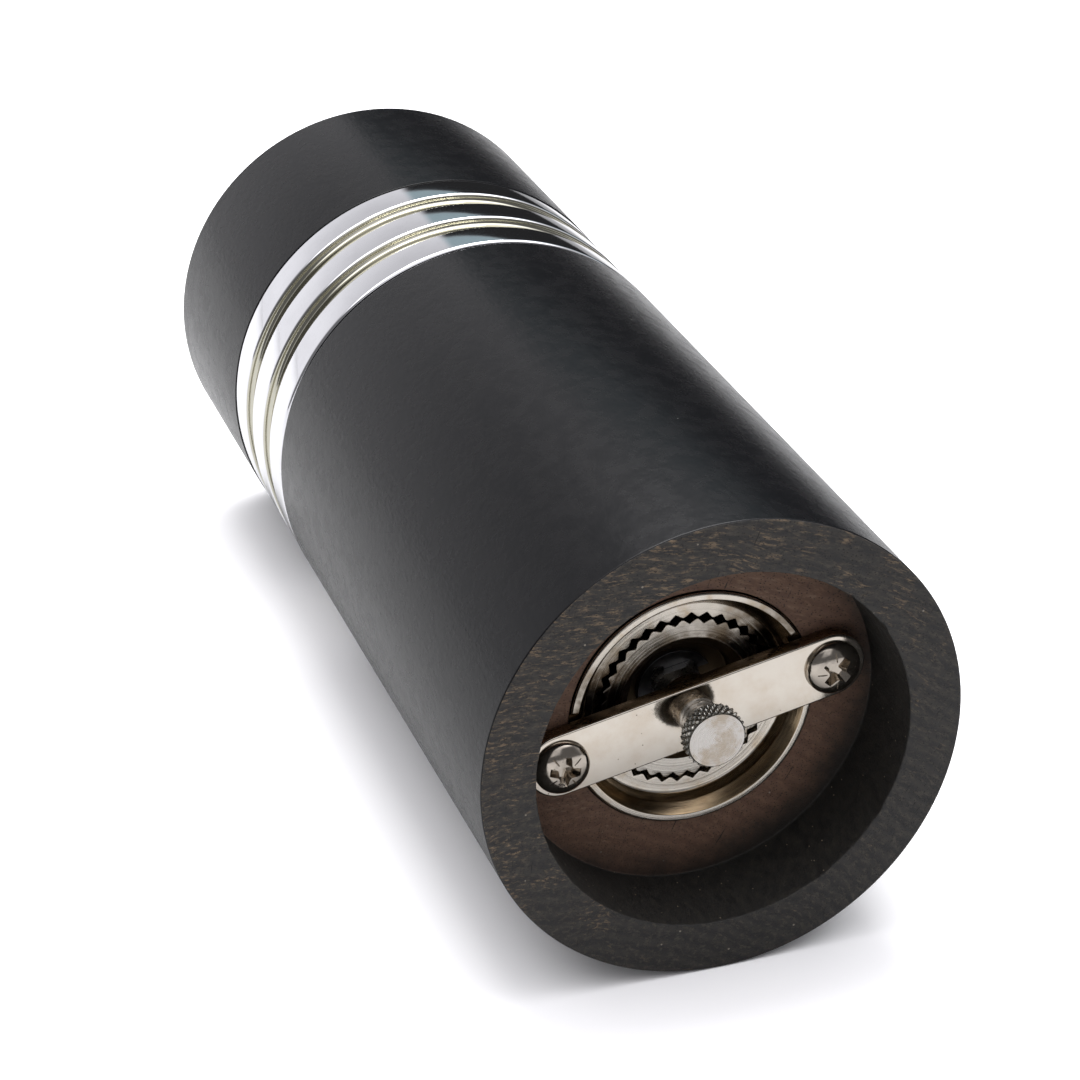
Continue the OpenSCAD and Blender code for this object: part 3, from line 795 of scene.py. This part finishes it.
def pan_screw(name, node, material, place, seat, up, turn, head_r, head_h, shank_r, length):
    """A wood screw with a domed head, a cross recess with four ticks between its arms, and a cut thread."""
    dome_h = head_h * 0.87

    def surface(r):
        return -head_h + dome_h * (1 - sqrt(max(0, 1 - (r / head_r) ** 2)))

    outline = [(head_r * sin(a), surface(head_r * sin(a)), 0) for a in (pi / 2 * k / 24 for k in range(24))]
    outline += [(head_r, surface(head_r), 0), (head_r, -0.12, 0), (head_r - 0.12, 0, 0)]
    shank = length - 3
    outline += stretch((shank_r, 0), (shank_r, shank), 0.16)
    outline += stretch((shank_r, shank), (0.3, length - 0.1), 0.16)
    outline += [(0.3, length - 0.1, 0), (0, length, 0)]

    def thread(angle, r, z):
        if z < 2.2 or z > length - 0.3:
            return r, z
        return r * (1 - 0.28 * smooth_step(wave(z / WOOD_SCREW_PITCH - angle / (2 * pi)), 0.25, 0.85)), z

    made = lathe(name, outline, [material], 96, thread)
    size = head_r / BRIDGE_SCREW["head_r"]
    mouth, foot = (cross_points(2.30, 0.74, 0.24, scale) for scale in (size, size * 0.5))
    cutters = [prism("cross", mouth, foot, -head_h - 0.25, -head_h + 1.35 * size)]
    for k in range(4):
        angle = pi / 4 + k * pi / 2
        cutters.append(tick("tick", angle, 1.35 * size, 2.45 * size, surface, 0.15 * size, 0.09 * size))
    boolean_cut(made, cutters)
    edge = made.modifiers.new("edge", "BEVEL")
    edge.width = 0.075 * size * MM
    edge.segments = 2
    edge.limit_method = "ANGLE"
    edge.angle_limit = radians(30)
    edge.use_clamp_overlap = True
    flip = Matrix.Identity(4) if up else Matrix.Rotation(pi, 4, "X")
    move = Matrix.Translation((place * MM, 0, seat * MM))
    made.data.transform(move @ Matrix.Rotation(turn, 4, "Z") @ flip)
    return stand_in(made, node)


def knurled_knob():
    """The adjusting knob: a flat turned face, a diamond-knurled side and a threaded stud."""
    r = KNOB_HI.x
    face = KNOB_LO.z
    back = face + 2.5
    tip = KNOB_HI.z
    outline = divided(rounded([
        (0, face, 0, 0), (r - 0.40, face, 0.08, 1), (r, face + 0.30, 0.04, 1), (r, back - 0.30, 0.04, 1),
        (r - 0.40, back, 0.05, 1), (STUD_R, back, 0, 2), (STUD_R, tip - 0.8, 0, 2), (1.3, tip, 0, 2),
        (0, tip, 0, 2)], 2), 0.07)
    outline = [(p, z, zone) for p, z, zone in outline if p == 0 or p > 0.3 or z > tip - 0.5]

    def shape(angle, p, z):
        if p > r - 0.34 and z < back + 0.01:
            turns = angle * KNURLS / (2 * pi)
            rise = (z - face) / 1.0
            groove = max(wave(turns + rise), wave(turns - rise))
            return p - 0.30 * max(0, (groove - 0.25) / 0.75) * smooth_step(p, r - 0.34, r - 0.05), z
        if abs(p - STUD_R) < 0.02 and z > back + 0.2:
            return p - 0.36 * smooth_step(wave(z / THREAD_PITCH - angle / (2 * pi)), 0.15, 0.95), z
        return p, z

    return stand_in(lathe("knurled_knob", outline, [KNOB_FACE, KNOB_SIDE, STUD_STEEL], 384, shape, 24),
                    "adjusting_knob")


def coil_spring():
    """The same coil as the CAD spring: one closed turn at each end and open turns between."""
    wire = 0.5
    coil_r = SPRING_HI.x - wire
    z0 = SPRING_LO.z + wire
    climb = SPRING_HI.z - wire - z0
    coils = 6
    closed = 1.1
    steps = coils * 48
    sides = 14
    verts = []
    faces = []
    for i in range(steps + 1):
        turn = i * coils / steps
        a = 2 * pi * turn
        open_turns = min(max(turn - 1, 0), coils - 2)
        z = z0 + closed * (turn - open_turns) + (climb - 2 * closed) / (coils - 2) * open_turns
        for k in range(sides):
            b = 2 * pi * k / sides
            p = coil_r + wire * cos(b)
            verts.append((p * cos(a), p * sin(a), z + wire * sin(b)))
        if i < steps:
            faces += [(i * sides + k, i * sides + (k + 1) % sides, (i + 1) * sides + (k + 1) % sides,
                       (i + 1) * sides + k) for k in range(sides)]
    faces += [tuple(range(sides)), tuple(range(steps * sides, (steps + 1) * sides))]
    return stand_in(add_mesh("coil_spring", verts, faces, [WIRE_STEEL], sharp=60), "spring")


def finish_node(node, material, edge=0.0, sharp=30):
    """Gives a CAD node its material, and small worn edges where edge is a width."""
    piece = frame["nodes"][node]
    piece.data.materials.clear()
    piece.data.materials.append(material)
    if edge:
        weld = piece.modifiers.new("weld", "WELD")
        weld.merge_threshold = 0.000002
        bevel = piece.modifiers.new("edge", "BEVEL")
        bevel.width = edge * MM
        bevel.segments = 3
        bevel.limit_method = "ANGLE"
        bevel.angle_limit = radians(sharp)
        bevel.harden_normals = True
    return piece


turned_barrel()
turned_head()
ribbed_collar()
slip_washer()
outer_burr()
inner_burr()
bridge_plate()
for side, turn in zip((-1, 1), SCREW_TURNS):
    pan_screw(f"bridge_screw_{'left' if side < 0 else 'right'}", "bridge_screws", SCREW_CHROME,
              side * SCREW_X, BRIDGE_LO.z, True, turn, **BRIDGE_SCREW)
for side in (-1, 1):
    word = "left" if side < 0 else "right"
    pan_screw(f"guide_screw_{word}", "guide_screws", ZINC_STEEL,
              side * GUIDE_SCREW_X, GUIDE_SCREW_Z, False, **GUIDE_SCREW)
    pan_screw(f"plate_screw_{word}", "drive_plate_screws", ZINC_STEEL,
              side * PLATE_SCREW_X, PLATE_SCREW_Z, True, **PLATE_SCREW)
knurled_knob()
coil_spring()
finish_node("guide_bar", ZINC_STEEL, 0.12)
finish_node("guide_bush", WHITE_NYLON, 0.12)
finish_node("thrust_ball", BALL_STEEL)
finish_node("drive_shaft", SHAFT_STEEL, 0.22)
finish_node("burr_circlip", BLUED_STEEL, 0.06)
finish_node("spring_seat", ZINC_STEEL, 0.08)
finish_node("spring_washer", ZINC_STEEL, 0.08)
finish_node("drive_plate", ZINC_STEEL, 0.15)
finish_node("shaft_clip", BLUED_STEEL, 0.05)


# ---------------------------------------------------------------- stage, camera and light

# The mill lies on its side: up from the floor, across to the right, and along the floor away from the camera
AZIMUTH_UP = radians(-78.23)
UP = Vector((cos(AZIMUTH_UP), sin(AZIMUTH_UP), 0))
CAMERA_AZIMUTH = radians(-111.30)
CAMERA_OFF_AXIS = radians(37.96)
CAMERA_AT = Vector((sin(CAMERA_OFF_AXIS) * cos(CAMERA_AZIMUTH), sin(CAMERA_OFF_AXIS) * sin(CAMERA_AZIMUTH),
                    -cos(CAMERA_OFF_AXIS))) * 12.08 * MILL_R
AIM = Vector((-1.4, 3.0, 64.1))
FORWARD = (AIM - CAMERA_AT).normalized()
RIGHT = FORWARD.cross(UP).normalized()
AWAY = UP.cross(RIGHT).normalized()


def make_camera():
    data = bpy.data.cameras.new("camera")
    data.sensor_width = 36
    data.lens = 103.8
    data.clip_start = 0.01
    data.clip_end = 20
    made = bpy.data.objects.new("camera", data)
    bpy.context.scene.collection.objects.link(made)
    top = RIGHT.cross(FORWARD)
    turn = Matrix((RIGHT, top, -FORWARD)).transposed().to_4x4()
    made.matrix_world = Matrix.Translation(CAMERA_AT * MM) @ turn
    bpy.context.scene.camera = made


def make_floor():
    """A pale floor under the lying mill, clear from behind.

    Reflections and bounced light see it darker than the camera does, so the black lacquer stays black. The
    camera alone also sees it glow faintly, less within a few centimetres of the mill: painted light, with a
    painted contact shadow.
    """
    half = 1600
    ground = -UP * (MILL_R + 0.03)
    corners = [ground + RIGHT * x * half + AWAY * y * half for x, y in ((-1, -1), (1, -1), (1, 1), (-1, 1))]
    mesh = bpy.data.meshes.new("floor")
    mesh.from_pydata([c * MM for c in corners], [], [(0, 1, 2, 3)])
    floor = bpy.data.objects.new("floor", mesh)
    bpy.context.scene.collection.objects.link(floor)
    m = Material("pale_floor", (0.90, 0.90, 0.90), 0.9)
    m.set("Specular IOR Level", 0.0)
    paper = m.mix(m.between(m.noise(m.mm, 0.01, 3.0), 0.3, 0.7), (0.905, 0.900, 0.910), (0.915, 0.910, 0.920))
    seen = m.add("ShaderNodeLightPath").outputs["Is Camera Ray"]
    away, aside = (
        m.add("ShaderNodeVectorMath", {0: m.mm, 1: tuple(axis)}, operation="DOT_PRODUCT").outputs["Value"]
        for axis in (AWAY, RIGHT))
    far = m.math("MULTIPLY", m.between(away, 330, 560), m.between(aside, -60, 40))
    near = m.mix(m.between(aside, -40, 40), (0.58, 0.58, 0.58), (0.50, 0.50, 0.50))
    m.set("Base Color", m.mix(seen, m.mix(far, near, (0.20, 0.20, 0.20)), paper))
    # Painted light: a faint glow that only the camera sees, dimmed where the mill hides the floor's sky, which
    # paints a contact shadow.
    open_sky = m.add("ShaderNodeAmbientOcclusion", {"Distance": 0.035}).outputs["AO"]
    m.set("Emission Color", (0.985, 0.98, 1.0, 1.0))
    m.set("Emission Strength", m.math("MULTIPLY", seen, m.between(open_sky, 0.10, 0.60, 0.02, 0.20)))
    back = m.add("ShaderNodeNewGeometry").outputs["Backfacing"]
    clear = m.add("ShaderNodeBsdfTransparent").outputs[0]
    choice = m.add("ShaderNodeMixShader", {0: back, 1: m.shader.outputs[0], 2: clear})
    m.tree.links.new(choice.outputs[0], m.tree.nodes["Material Output"].inputs["Surface"])
    mesh.materials.append(m.made)
    mesh.update()
    if mesh.polygons[0].normal.dot(UP) < 0:
        mesh.flip_normals()


def make_world():
    """A studio for the reflections: pale walls and ceiling, a dark front, and two cards beyond, at right."""
    world = bpy.data.worlds.new("studio")
    world.use_nodes = True
    bpy.context.scene.world = world
    tree = world.node_tree
    shader = tree.nodes["Background"]

    def add(kind, inputs=(), **settings):
        made = tree.nodes.new(kind)
        for key, value in settings.items():
            setattr(made, key, value)
        for key, value in dict(inputs).items():
            if isinstance(value, bpy.types.NodeSocket):
                tree.links.new(value, made.inputs[key])
            else:
                made.inputs[key].default_value = value
        return made

    toward = add("ShaderNodeTexCoord").outputs["Generated"]

    def along(axis):
        made = add("ShaderNodeVectorMath", {0: toward, 1: tuple(axis)}, operation="DOT_PRODUCT")
        return made.outputs["Value"]

    def span(value, lo, hi, to_lo=0.0, to_hi=1.0):
        return add("ShaderNodeMapRange", {0: value, 1: lo, 2: hi, 3: to_lo, 4: to_hi},
                   interpolation_type="SMOOTHSTEP").outputs[0]

    def math(operation, a, b=0.0):
        return add("ShaderNodeMath", {0: a, 1: b}, operation=operation).outputs[0]

    def blend(share, a, b):
        return add("ShaderNodeMix", {0: share, 2: a, 3: b}, data_type="FLOAT").outputs[0]

    def within(value, lo, hi, soft):
        above = span(value, lo - soft, lo + soft)
        return math("MULTIPLY", above, span(value, hi - soft, hi + soft, 1.0, 0.0))

    rise = along(UP)
    side = along(RIGHT)
    depth = along(AWAY)
    right = math("MULTIPLY", span(side, -0.17, -0.13), span(depth, 0.3, 0.5))
    black_card = math("MULTIPLY", within(rise, -0.30, 0.385, 0.012), right)
    teal_card = math("MULTIPLY", within(rise, 0.385, 0.52, 0.012), right)
    beyond = blend(teal_card, span(rise, 0.12, 0.58, 0.98, 0.62), 0.42)
    beyond = blend(black_card, beyond, 0.02)
    window = math("MULTIPLY", span(rise, 0.26, 0.34), within(side, -0.05, 0.38, 0.05))
    nearer = blend(window, 0.16, 0.80)
    studio = blend(span(depth, -0.35, 0.25), nearer, beyond)
    studio = blend(span(rise, 0.62, 0.82), studio, span(depth, -0.50, -0.05, 1.1, 2.9))
    seen = add("ShaderNodeLightPath").outputs["Is Camera Ray"]
    tree.links.new(blend(seen, studio, 1.0), shader.inputs["Strength"])
    cool, teal, white = (0.975, 0.970, 1.0, 1), (0.72, 0.93, 1.0, 1), (1, 1, 1, 1)
    tint = add("ShaderNodeMix", {0: teal_card, 6: cool, 7: teal}, data_type="RGBA")
    tint = add("ShaderNodeMix", {0: seen, 6: tint.outputs[2], 7: white}, data_type="RGBA")
    tree.links.new(tint.outputs[2], shader.inputs["Color"])


def make_light(name, place, size, power, color=(1, 1, 1)):
    """A square soft light that faces the mill from place, in millimetres."""
    data = bpy.data.lights.new(name, "AREA")
    data.shape = "SQUARE"
    data.size = size * MM
    data.energy = power
    data.color = color
    made = bpy.data.objects.new(name, data)
    bpy.context.scene.collection.objects.link(made)
    target = Vector((0, 0, MILL_H / 2))
    made.location = place * MM
    made.rotation_euler = (target - place).to_track_quat("-Z", "Y").to_euler()


make_camera()
make_floor()
make_world()
make_light("overhead_softbox", UP * 900 - RIGHT * 60 + AWAY * 440, 640, 9.4)

scene = bpy.context.scene
scene.view_settings.view_transform = "Standard"
scene.view_settings.look = "None"
scene.view_settings.exposure = 0.0
